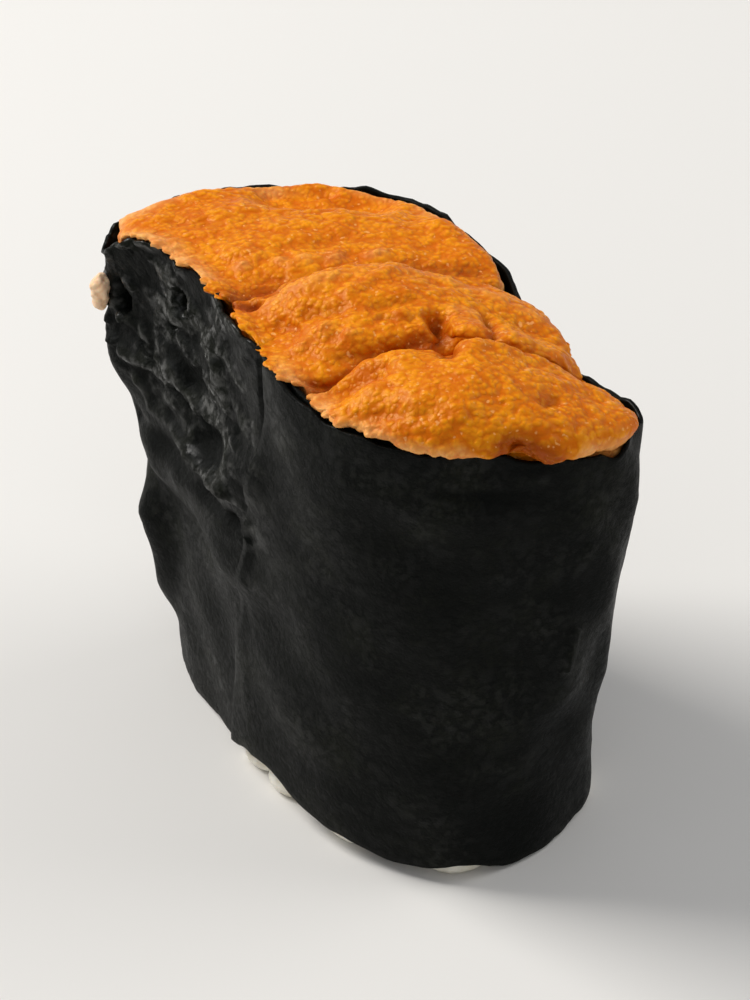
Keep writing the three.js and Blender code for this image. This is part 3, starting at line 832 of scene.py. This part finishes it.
def nori_finish(settings):
    finish = Finish("Nori", Specular_IOR_Level=0.06, Coat_Roughness=0.24)
    blotch = finish.speckle(3.5, detail=4)
    pulp = finish.speckle(0.5, detail=5, roughness=0.65)
    strands = finish.speckle(0.16, detail=4, roughness=0.7)
    crease = (finish.speckle(1.3, detail=3) - 0.5).math("ABSOLUTE")
    raised = finish.attribute("raised")
    slackened = finish.attribute("slack")
    # the sheet's own thin and thick patches, and painted shade in the hollows of the crinkles
    thinness_and_crease_shade = (blotch * 0.4 + pulp * 0.4 + raised * 0.2).spread(0.42, 0.68)
    crumple = finish.facets(0.9)
    bumps = (crease * (1 + slackened) + pulp * 0.6 + strands * 0.25
             + crumple * (0.3 + 1.7 * slackened))
    finish.set(
        Base_Color=finish.mix(thinness_and_crease_shade, tuple(settings.dark), tuple(settings.light)),
        Roughness=pulp.spread(0.3, 0.7, 0.4, 0.6),
        Coat_Weight=(raised * (pulp + crease * 2).spread(0.5, 0.85, 0.02, 0.8)
                     * (0.35 + 0.65 * slackened)),
        Normal=finish.relief(bumps, 0.25, 0.8),
    )
    return finish.material


# ---- rice ----
def grain_mesh():
    """One plump short grain, a little bent and narrower at one end, at the origin."""
    piece = added("grain", bpy.ops.mesh.primitive_uv_sphere_add,
                  segments=14, ring_count=10, radius=0.5)
    points = unit_points(piece)[:, [0, 2, 1]] * (1, 1, -1)  # the poles become the tips
    along = points[:, 1] * 2
    width = 1 + GRAIN_PLUMP * (1 - along**2) - GRAIN_TAPER * along
    points[:, 0] *= width
    points[:, 2] *= width
    points *= GRAIN
    points[:, 0] += GRAIN_BEND * (1 - along**2)
    put_points(piece, points)
    only(piece)
    bpy.ops.object.mode_set(mode="EDIT")
    bpy.ops.mesh.select_all(action="SELECT")
    bpy.ops.mesh.normals_make_consistent(inside=False)
    bpy.ops.object.mode_set(mode="OBJECT")
    return piece


def grain_places():
    """Middle, heading, tilt and size of every grain, in mm."""
    draw = seeded(SEED)
    golden = math.pi * (3 - math.sqrt(5))
    smallest, more = GRAIN_SIZES

    def spread(count, inset, z):
        for k in range(count):
            turn = np.array([k * golden / (2 * math.pi)])
            edge = sheet_point(turn, np.array([0.0]), -inset)[0]
            reach = math.sqrt((k + 0.5) / count)
            heading = draw() * math.pi
            yield (edge[0] * reach, edge[1] * reach, z), heading, 0.0, smallest + more * draw()

    def beside(turn, inset, z):
        turn = np.array([turn])
        point = sheet_point(turn, np.array([0.0]), -inset)[0]
        out = outward(turn, np.array([0.0]))[0]
        heading = math.atan2(out[1], out[0]) + 0.5 * (draw() - 0.5)
        return (point[0], point[1], z), heading

    yield from spread(**UNDER)
    for k in range(ROUND["count"]):
        where, heading = beside((k + 0.5 * draw()) / ROUND["count"], ROUND["inset"], ROUND["z"])
        yield where, heading, 0.3 * (draw() - 0.5), smallest
    for at, lift in PEEPS:
        where, heading = beside(at / STEPS, PEEPING["inset"], PEEPING["z"])
        yield where, heading, PEEPING["tilt"], 1.0
    yield from spread(**SECOND)


def make_rice(settings):
    material = rice_finish(settings)
    shift = strip_shift()
    master = grain_mesh()
    shape = points_of(master)
    grains = []
    for number, (where, heading, tilt, size) in enumerate(grain_places()):
        grain = master.copy()
        grain.data = master.data.copy()
        bpy.context.scene.collection.objects.link(grain)
        turn = Matrix.Rotation(heading, 3, "Z") @ Matrix.Rotation(tilt, 3, "X")
        points = (shape * size) @ np.array(turn).T + where + shift
        points += GRAIN_DENTS * sway(points, 2.2, number)
        points[:, 2] = np.maximum(points[:, 2], 0.02)  # just clear of the floor
        put_points(grain, points)
        grains.append(grain)
    bpy.data.objects.remove(master)
    only(grains[0])
    for grain in grains:
        grain.select_set(True)
    bpy.ops.object.join()
    grains[0].name = "rice_grains"
    finished(grains[0], ["rice"], material)
    finished(rice_core(shift), ["rice"], material)


def rice_core(shift):
    """The block behind the grains, with the swellings of those pressed into it."""
    piece = added("rice_core", bpy.ops.mesh.primitive_cylinder_add,
                  vertices=96, radius=1, depth=1, end_fill_type="TRIFAN")
    drum = unit_points(piece)
    turn = -(np.arctan2(drum[:, 1], drum[:, 0]) / (2 * math.pi) + 0.25)
    z = np.where(drum[:, 2] > 0, RICE_TOP, CORE_FOOT)
    rise = (z - NORI_FOOT) / (NORI_HEIGHT - NORI_FOOT)
    points = sheet_point(turn, rise, -CORE_INSET)
    middle = np.hypot(drum[:, 0], drum[:, 1]) < 0.5
    points[middle, :2] = 0
    points[:, 2] = z
    put_points(piece, points + shift)
    apply_modifier(piece, "REMESH", mode="VOXEL", voxel_size=CORE_VOXEL * MM)
    points = points_of(piece)
    swell = 0.35 * domes(points * (1, 0.6, 1), 2.4, 3.3) - 0.25
    points += normals_of(piece) * swell[:, None]
    points[:, 2] = np.minimum(points[:, 2], RICE_TOP)
    put_points(piece, points)
    return piece


def rice_finish(settings):
    finish = Finish("Rice", Subsurface_Weight=0.25, Subsurface_Radius=(1.0, 0.8, 0.6),
                    Subsurface_Scale=0.8 * MM, Coat_Weight=0.25, Coat_Roughness=0.2)
    cloud = finish.speckle(1.6, detail=3)
    skin = finish.speckle(0.35, detail=3)
    clearness = cloud.spread(0.35, 0.7)
    finish.set(
        Base_Color=finish.mix(clearness, tuple(settings.white), tuple(settings.shade)),
        Roughness=skin.spread(0.3, 0.7, 0.3, 0.45),
        Normal=finish.relief(skin, 0.06, 0.5),
    )
    return finish.material


# ---- sea urchin ----
def copy_of_nodes(nodes, name):
    """The solids of one tongue, swollen a little and joined where they are several."""
    copies = []
    for node in nodes:
        copies.append(bpy.data.objects.new(name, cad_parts[node].data.copy()))
        bpy.context.scene.collection.objects.link(copies[-1])
    piece = copies[0]
    only(piece)
    if len(copies) > 1:
        for other in copies:
            other.select_set(True)
        bpy.ops.object.join()
    bpy.ops.object.mode_set(mode="EDIT")
    bpy.ops.mesh.select_all(action="SELECT")
    bpy.ops.mesh.remove_doubles(threshold=0.01 * MM)
    bpy.ops.object.mode_set(mode="OBJECT")
    apply_modifier(piece, "DISPLACE", strength=SEAM * MM, mid_level=0)
    return piece


def solids(nodes):
    """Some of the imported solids, as one tree to measure distances to in mm."""
    corners = []
    faces = []
    for node in nodes:
        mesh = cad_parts[node].data
        start = len(corners)
        corners += [vertex.co / MM for vertex in mesh.vertices]
        faces += [[start + i for i in polygon.vertices] for polygon in mesh.polygons]
    return BVHTree.FromPolygons(corners, faces)


def distances(points, nodes):
    """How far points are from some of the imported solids."""
    tree = solids(nodes)
    return np.array([tree.find_nearest(point)[3] for point in points])


class Rim:
    """The nori's upper edge: how far a point is from it, and which way is out."""

    def __init__(self, shift):
        self.shift = shift
        self.turns = np.arange(RIM_MARKS) / RIM_MARKS
        rises = around_rim(self.turns, RISES)
        points = sheet_point(self.turns, np.ones(RIM_MARKS), -RISE_LEAN * rises)
        points[:, 2] += rim_wave(self.turns) + rises
        self.points = points + shift
        self.out = outward(self.turns, np.ones(RIM_MARKS))
        self.tree = kdtree.KDTree(RIM_MARKS)
        for i, point in enumerate(self.points):
            self.tree.insert((point[0], point[1], 0), i)
        self.tree.balance()

    def near(self, points):
        """Turn, depth inside the sheet's middle, height over the edge, and the way out."""
        found = np.array([self.tree.find((x, y, 0))[1] for x, y, z in points])
        inside = np.einsum("ij,ij->i", self.points[found] - points, self.out[found])
        over = points[:, 2] - self.points[found, 2]
        return self.turns[found], inside, over, self.out[found]


def lap_over_rim(points, normals, rim):
    """Lifts the edge of a tongue over the rim of the nori and pushes it out in small lobes.

    Gives the moved points, how pale they are (the edge's own paler tone, partly painted rim light),
    and how surely they are below the rim, where they get painted shade.
    """
    turn, inside, over, out = rim.near(points)
    lap = around_rim(turn, LAPS)
    lobes = 0.6 * domes(points * (1, 1, 0.7), 0.8, 6.6) * (1 + 1.2 * field(points, 2.1, 5.7))
    lobes = np.clip(lobes + 0.6 * field(points, 1.5, 3.2), 0, 1.2)
    reach = (1 - smooth(0.6, 2.4, inside)) * smooth(-2.5, -0.5, over)
    ragged = (1 - smooth(0.4, 1.5, inside)) * (1 - smooth(0.5, 1.7, over))
    push = reach * lap * (0.75 + ragged * (0.9 * lobes - 0.3))
    brim = smooth(0.1, 0.6, lap) * (1 - smooth(0.8, 2.2, inside)) * smooth(0, 0.6, normals[:, 2])
    lift = np.clip(BRIM * (0.5 + lobes) - over, 0, 1.8) * brim
    over = over + lift
    tuck = np.maximum(0, INSIDE - inside + push) * (1 - smooth(-0.1, 0.25, over))
    moved = points + out * (push - tuck)[:, None]
    moved[:, 2] += lift

    # the pale edge: its own paler tone, partly painted rim light
    pale = around_rim(turn, PALES)
    edge = (1 - smooth(0.3, 1.2, over / pale)) * smooth(-0.9, -0.3, over)
    edge *= 1 - smooth(0.5, 2, inside)
    tucked = (1 - smooth(0.05, 0.3, lap)) * smooth(0.1, 0.5, normals[:, 2])
    tucked *= 1 - smooth(0.2, 0.9, over)
    edge = np.maximum(edge, tucked * (1 - smooth(0.3, 1.1, (inside - INSIDE) / pale)))
    return moved, edge * smooth(0.1, 0.5, pale), 1 - smooth(-1.4, -0.2, over)


def make_tongue(name, nodes, beside, settings, rim, material):
    piece = copy_of_nodes(nodes, name)
    for faces, rounds in ((MELT[0] * MM, MELT[1]), (settings.detail, FINE_ROUNDS)):
        apply_modifier(piece, "REMESH", mode="VOXEL", voxel_size=faces)
        apply_modifier(piece, "SMOOTH", factor=0.5, iterations=rounds)

    points = points_of(piece)
    normals = normals_of(piece)
    upward = smooth(-0.2, 0.5, normals[:, 2])
    furrow = (1 - smooth(*FURROW, distances(points, beside))) * upward
    # painted shade in the furrows where the next tongue comes near
    deep = 0.7 * furrow
    swell = PROUD - SEAM + 0.22 * field(points, 4.5, 8.8) + 0.14 * field(points, 1.7, 2.5)
    swell -= 0.15 * furrow
    if len(nodes) > 1:  # the seam is filled
        apart = np.maximum(*(distances(points, [node]) for node in nodes))
        swell += 0.5 * (1 - smooth(0.3, 1.6, apart)) * upward
    # the dents' painted shade, and painted highlights where it is below 0
    out, dent_shade_and_light = strongest_of(points - rim.shift, DENTS)
    deep += dent_shade_and_light
    points += normals * (swell + out)[:, None]
    points, pale, below = lap_over_rim(points, normals, rim)
    pale = np.maximum(pale, -0.45 * deep)  # painted highlights: lumps and crest lines painted paler than the rest
    put_points(piece, points)

    normals = normals_of(piece)
    bent = points + 0.3 * sway(points, 1.3, 1)
    bent *= (1, 0.75, 1)  # granules are longer along the tongue
    fine = domes(bent, settings.granule / MM)
    coarse = domes(bent, 2.2 * settings.granule / MM, 5.1)
    patchy = 0.9 + 0.7 * field(points, 2.7, 6.1)
    height = fine * patchy + 0.4 * coarse
    points += normals * (settings.height / MM * (height - 0.6))[:, None]
    put_points(piece, points)
    put_attribute(piece, "granule", 0.65 * fine * patchy + 0.35 * coarse)
    # painted shade: furrows, dents, and what is below the nori's rim
    put_attribute(piece, "deep", np.clip(deep + below, 0, 1))
    put_attribute(piece, "pale", np.clip(pale * (0.5 + 0.7 * coarse), 0, 1))
    finished(piece, nodes, material)


def make_scrap(settings, shift):
    piece = added("scrap", bpy.ops.mesh.primitive_ico_sphere_add, subdivisions=5, radius=1)
    ball = unit_points(piece)
    points = ball * SCRAP["half"] + SCRAP["at"] + shift
    lumps = 0.28 * field(points, 1.3, 3.0) + 0.12 * field(points, 0.5, 4.0)
    points += ball * lumps[:, None]
    points[:, 0] += 0.25 * np.sin(ball[:, 2] * 2)
    put_points(piece, points)
    put_attribute(piece, "granule", domes(points, 0.6, 1.0))
    put_attribute(piece, "deep", np.zeros(len(points)))
    put_attribute(piece, "pale", np.full(len(points), 1.4))
    material = urchin_finish("Sea urchin scrap", settings, settings.scrap)
    finished(piece, ["uni_scrap"], material)


def urchin_finish(name, settings, pale):
    finish = Finish(name, Subsurface_Weight=0.15, Subsurface_Radius=(1.0, 0.42, 0.12),
                    Subsurface_Scale=0.45 * MM, Specular_IOR_Level=0.3,
                    Specular_Tint=(1.0, 0.76, 0.3))
    granule = finish.attribute("granule")
    tint = finish.speckle(3.2, detail=3)
    grit = finish.speckle(0.32, detail=3, roughness=0.6)
    seed = finish.grains(0.45)
    # random pale specks: partly the granules' own paler tone, partly painted glints
    pale_specks_and_glints = finish.speckle(0.42, detail=1).spread(0.66, 0.76)
    top = (granule * 0.7 + seed * 0.35 + grit * 0.25 + tint * 0.3).spread(0.42, 1.25)
    colour = finish.mix(top, tuple(settings.orange), tuple(settings.golden))
    # painted shade from the deep attribute, a little uneven
    depth = finish.attribute("deep") * (0.6 + 0.4 * tint)
    colour = finish.mix(depth, colour, tuple(settings.deep))
    # the pale edge: its own paler tone, partly painted rim light
    pale_edge_and_rim_light = finish.attribute("pale") * (0.35 + 0.5 * grit + 0.3 * seed)
    colour = finish.mix(pale_edge_and_rim_light.math("MAXIMUM", pale_specks_and_glints * 0.6), colour, tuple(pale))
    finish.set(
        Base_Color=colour,
        Roughness=grit.spread(0.3, 0.7, 0.36, 0.52),
        Normal=finish.relief(seed * 0.8 + grit * 0.45, 0.1, 0.8),
    )
    return finish.material


# ---- stage ----
def make_floor(settings):
    floor = added("floor", bpy.ops.mesh.primitive_plane_add, size=FLOOR_SIZE)
    finish = Finish("Floor", Roughness=0.75)
    cloud = finish.speckle(30, detail=2)
    darker = tuple(0.9 * part for part in settings.floor)
    finish.set(Base_Color=finish.mix(cloud * 0.06, tuple(settings.floor), darker))
    floor.data.materials.append(finish.material)


def add_light(name, direction, distance, size, power, colour):
    data = bpy.data.lights.new(name, "AREA")
    data.size = size
    data.energy = power
    data.color = colour
    light = bpy.data.objects.new(name, data)
    way = Vector(direction).normalized()
    light.location = way * distance
    light.rotation_euler = way.to_track_quat("Z", "Y").to_euler()
    bpy.context.scene.collection.objects.link(light)


def make_stage(settings):
    make_floor(settings)
    scene = bpy.context.scene
    world = bpy.data.worlds.new("Studio")
    world.use_nodes = True
    background = world.node_tree.nodes["Background"]
    background.inputs["Color"].default_value = SKY
    background.inputs["Strength"].default_value = SKY_STRENGTH
    scene.world = world
    for light in LIGHTS:
        add_light(*light)

    low, high = (np.array(corner) for corner in cad_bounds)
    aim = Vector((low + high) / 2)
    flat = math.cos(settings.elevation)
    way = Vector((math.sin(settings.azimuth) * flat, -math.cos(settings.azimuth) * flat,
                  math.sin(settings.elevation)))
    data = bpy.data.cameras.new("camera")
    data.sensor_fit = "VERTICAL"
    data.sensor_height = FRAME_HEIGHT
    data.lens = settings.lens
    data.clip_start = 0.01
    camera = bpy.data.objects.new("camera", data)
    camera.location = aim + way * settings.distance
    level = way.to_track_quat("Z", "Y").to_matrix()
    camera.rotation_euler = (level @ Matrix.Rotation(settings.lean, 3, "Z")).to_euler()
    scene.collection.objects.link(camera)
    scene.camera = camera
    scene.view_settings.view_transform = "Standard"


# ---- operators ----
class GUNKAN_OT_nori(bpy.types.Operator):
    """Wraps the crinkled strip of nori"""
    bl_idname = "gunkan.nori"
    bl_label = "Nori"

    def execute(self, context):
        make_nori(context.scene.gunkan_nori)
        return {"FINISHED"}


class GUNKAN_OT_rice(bpy.types.Operator):
    """Packs the rice, with separate grains where it shows"""
    bl_idname = "gunkan.rice"
    bl_label = "Rice"

    def execute(self, context):
        make_rice(context.scene.gunkan_rice)
        return {"FINISHED"}


class GUNKAN_OT_urchin(bpy.types.Operator):
    """Lays the tongues of sea urchin and the scrap beside them"""
    bl_idname = "gunkan.urchin"
    bl_label = "Sea urchin"

    def execute(self, context):
        settings = context.scene.gunkan_urchin
        rim = Rim(strip_shift())
        material = urchin_finish("Sea urchin", settings, settings.pale)
        for name, nodes, beside in TONGUES:
            make_tongue(name, nodes, beside, settings, rim, material)
        make_scrap(settings, rim.shift)
        return {"FINISHED"}


class GUNKAN_OT_stage(bpy.types.Operator):
    """Sets up the floor, the lights and the camera"""
    bl_idname = "gunkan.stage"
    bl_label = "Stage"

    def execute(self, context):
        make_stage(context.scene.gunkan_stage)
        return {"FINISHED"}


class GUNKAN_PT_panel(bpy.types.Panel):
    """Lists the pieces and what can be changed about them"""
    bl_idname = "GUNKAN_PT_panel"
    bl_label = "Gunkan"
    bl_space_type = "VIEW_3D"
    bl_region_type = "UI"
    bl_category = "Gunkan"

    def draw(self, context):
        for name, group, operator in PIECES:
            box = self.layout.box()
            settings = getattr(context.scene, name)
            for key in group.__annotations__:
                box.prop(settings, key)
            box.operator(operator.bl_idname)


# What is made: the scene's name for its settings, the settings, and the operator.
PIECES = (
    ("gunkan_nori", NoriSettings, GUNKAN_OT_nori),
    ("gunkan_rice", RiceSettings, GUNKAN_OT_rice),
    ("gunkan_urchin", UrchinSettings, GUNKAN_OT_urchin),
    ("gunkan_stage", StageSettings, GUNKAN_OT_stage),
)


def register():
    for name, group, operator in PIECES:
        bpy.utils.register_class(group)
        setattr(bpy.types.Scene, name, bpy.props.PointerProperty(type=group))
        bpy.utils.register_class(operator)
    bpy.utils.register_class(GUNKAN_PT_panel)


def unregister():
    bpy.utils.unregister_class(GUNKAN_PT_panel)
    for name, group, operator in reversed(PIECES):
        bpy.utils.unregister_class(operator)
        delattr(bpy.types.Scene, name)
        bpy.utils.unregister_class(group)


def main():
    register()
    bpy.ops.gunkan.nori()
    bpy.ops.gunkan.rice()
    bpy.ops.gunkan.urchin()
    bpy.ops.gunkan.stage()


if __name__ == "__main__":
    main()
